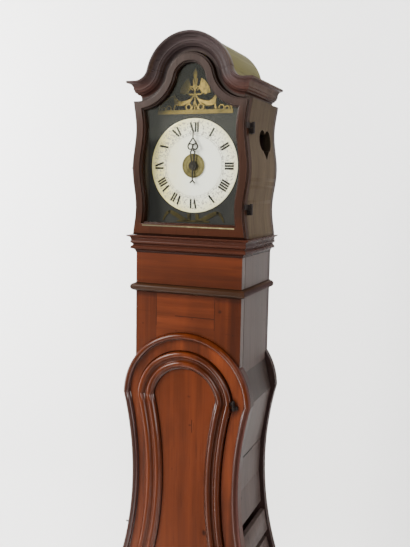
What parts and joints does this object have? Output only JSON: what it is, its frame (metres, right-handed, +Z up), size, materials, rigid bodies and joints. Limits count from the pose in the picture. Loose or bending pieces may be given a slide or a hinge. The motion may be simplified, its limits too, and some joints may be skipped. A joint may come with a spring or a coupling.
{
  "type": "longcase clock",
  "caption": "Comtoise longcase clock with violin-shaped trunk, arched lift-off hood, single hour hand, long pendulum and rope-hung weights.",
  "frame": {"origin": "centre of the footprint on the floor", "axes": "+Z up, -Y the dial side, +X to the right as seen from the front"},
  "size_m": [0.434, 0.259, 2.149],
  "materials": {
    "wood_red": "polished red-brown wood",
    "wood_dark": "polished dark moulding",
    "wood_grey": "matt weathered side boards",
    "wood_raw": "unfinished board",
    "iron": "dark forged iron",
    "iron_cast": "cast weight",
    "brass": "dull gilt brass",
    "enamel": "enamel, warm white",
    "glass": "clear pane",
    "rope": "hemp rope"
  },
  "bodies": {
    "case": {"plinth": "wood_red", "plinth_moulding": "wood_dark", "trunk_front": "wood_red", "trunk_moulding": "wood_dark", "trunk_side_left": "wood_grey", "trunk_side_right": "wood_grey", "case_back": "wood_raw", "neck_front": "wood_red", "neck_sides": "wood_grey", "mid_moulding": "wood_dark", "hood_seat_moulding": "wood_dark", "seat_board": "wood_raw", "movement_cage": "iron", "train_bars": "iron", "pendulum_cock": "iron", "bell": "brass", "bell_stand": "iron", "dial_plate": "iron", "dial": "enamel", "fronton": "brass", "lower_ornament": "brass", "rope_wraps": "rope", "trunk_hinge_posts": "iron"},
    "hood": {"hood_side_left": "wood_grey", "hood_side_right": "wood_grey", "hood_back": "wood_raw", "hood_arch_board": "wood_red", "hood_roof": "wood_raw", "hood_cornice": "wood_dark", "hood_hinge_leaves": "iron"},
    "hood_door": {"hood_door_frame": "wood_red", "hood_glass": "glass", "glass_bead": "wood_dark", "hood_door_hinges": "iron", "hood_door_pull": "iron"},
    "trunk_door": {"trunk_door_frame": "wood_red", "trunk_door_panel": "wood_red", "trunk_door_moulding": "wood_dark", "trunk_door_hinges": "iron"},
    "hand": {"hour_wheel": "brass", "hour_hand": "iron"},
    "alarm_dial": {"alarm_disc": "brass"},
    "great": {"great_wheel": "brass"},
    "sheave": {"going_sheave": "brass"},
    "intermediate": {"intermediate_wheel": "brass"},
    "third": {"third_wheel": "brass"},
    "crown": {"crown_wheel": "brass"},
    "verge_staff": {"verge": "iron"},
    "pendulum": {"pendulum_rod": "iron", "pendulum_bob": "brass"},
    "weight": {"going_weight": "iron_cast", "going_rope": "rope"},
    "tail": {"going_counterweight": "iron_cast", "going_tail_rope": "rope"},
    "alarm_drive": {"alarm_wheel": "brass"},
    "hammer": {"alarm_hammer": "iron"},
    "alarm_mass": {"alarm_weight": "iron_cast", "alarm_rope": "rope"},
    "alarm_tail": {"alarm_counterweight": "iron_cast", "alarm_tail_rope": "rope"}
  },
  "joints": [
    {"name": "hood_lift", "type": "slide", "parent": "case", "child": "hood", "axis": [0, 0, 1], "range_m": [0, 0.45]},
    {"name": "hood_door_hinge", "type": "hinge", "parent": "hood", "child": "hood_door", "pos_m": [0.1625, -0.09025, 1.814], "axis": [0, 0, 1], "range_deg": [0, 110]},
    {"name": "trunk_door_hinge", "type": "hinge", "parent": "case", "child": "trunk_door", "pos_m": [0.13669, -0.114, 1.21221], "axis": [-0.0505, 0, 0.9987], "range_deg": [0, 110]},
    {"name": "third_turn", "type": "hinge", "parent": "case", "child": "third", "pos_m": [0.04001, -0.054, 1.82082], "axis": [0, -1, 0], "continuous": true},
    {"name": "great_turn", "type": "hinge", "parent": "case", "child": "great", "pos_m": [0.03802, -0.054, 1.72372], "axis": [0, -1, 0], "continuous": true},
    {"name": "intermediate_turn", "type": "hinge", "parent": "case", "child": "intermediate", "pos_m": [0.01112, -0.054, 1.77284], "axis": [0, -1, 0], "continuous": true},
    {"name": "crown_turn", "type": "hinge", "parent": "case", "child": "crown", "pos_m": [0, -0.054, 1.86], "axis": [0, -1, 0], "continuous": true},
    {"name": "hand_turn", "type": "hinge", "parent": "case", "child": "hand", "pos_m": [0, -0.0775, 1.822], "axis": [0, -1, 0], "continuous": true},
    {"name": "alarm_set", "type": "hinge", "parent": "hand", "child": "alarm_dial", "pos_m": [0, -0.0775, 1.822], "axis": [0, -1, 0], "continuous": true},
    {"name": "pendulum_swing", "type": "hinge", "parent": "case", "child": "pendulum", "pos_m": [0, -0.066, 1.955], "axis": [0, -1, 0], "range_deg": [-3, 3]},
    {"name": "verge_turn", "type": "hinge", "parent": "case", "child": "verge_staff", "pos_m": [0, -0.045, 1.86], "axis": [0, 0, 1], "range_deg": [-8, 8]},
    {"name": "weight_fall", "type": "slide", "parent": "case", "child": "weight", "axis": [0, 0, 1], "range_m": [-0.7, 0], "deforming": ["going_rope"]},
    {"name": "tail_rise", "type": "slide", "parent": "case", "child": "tail", "axis": [0, 0, 1], "range_m": [0, 0.7], "deforming": ["going_tail_rope"]},
    {"name": "sheave_turn", "type": "hinge", "parent": "case", "child": "sheave", "pos_m": [0.03802, -0.054, 1.72372], "axis": [0, -1, 0], "range_deg": [-1216.37, 1]},
    {"name": "alarm_fall", "type": "slide", "parent": "case", "child": "alarm_mass", "axis": [0, 0, 1], "range_m": [-0.7, 0], "deforming": ["alarm_rope"]},
    {"name": "alarm_tail_rise", "type": "slide", "parent": "case", "child": "alarm_tail", "axis": [0, 0, 1], "range_m": [0, 0.7], "deforming": ["alarm_tail_rope"]},
    {"name": "alarm_turn", "type": "hinge", "parent": "case", "child": "alarm_drive", "pos_m": [-0.062, -0.054, 1.705], "axis": [0, -1, 0], "range_deg": [-1, 1672.13]},
    {"name": "hammer_strike", "type": "hinge", "parent": "case", "child": "hammer", "pos_m": [-0.062, -0.04, 1.901], "axis": [0, 0, 1], "range_deg": [0, 16]}
  ],
  "couplings": [
    {"joint": "great_turn", "follows": "third_turn", "ratio": 0.012346},
    {"joint": "intermediate_turn", "follows": "third_turn", "ratio": -0.11111},
    {"joint": "crown_turn", "follows": "third_turn", "ratio": -9},
    {"joint": "hand_turn", "follows": "third_turn", "ratio": 0.013889},
    {"joint": "verge_turn", "follows": "pendulum_swing", "ratio": 2.3333},
    {"joint": "tail_rise", "follows": "weight_fall", "ratio": -1},
    {"joint": "sheave_turn", "follows": "weight_fall", "rad_per_m": 30.303},
    {"joint": "alarm_tail_rise", "follows": "alarm_fall", "ratio": -1},
    {"joint": "alarm_turn", "follows": "alarm_fall", "rad_per_m": -41.667}
  ]
}
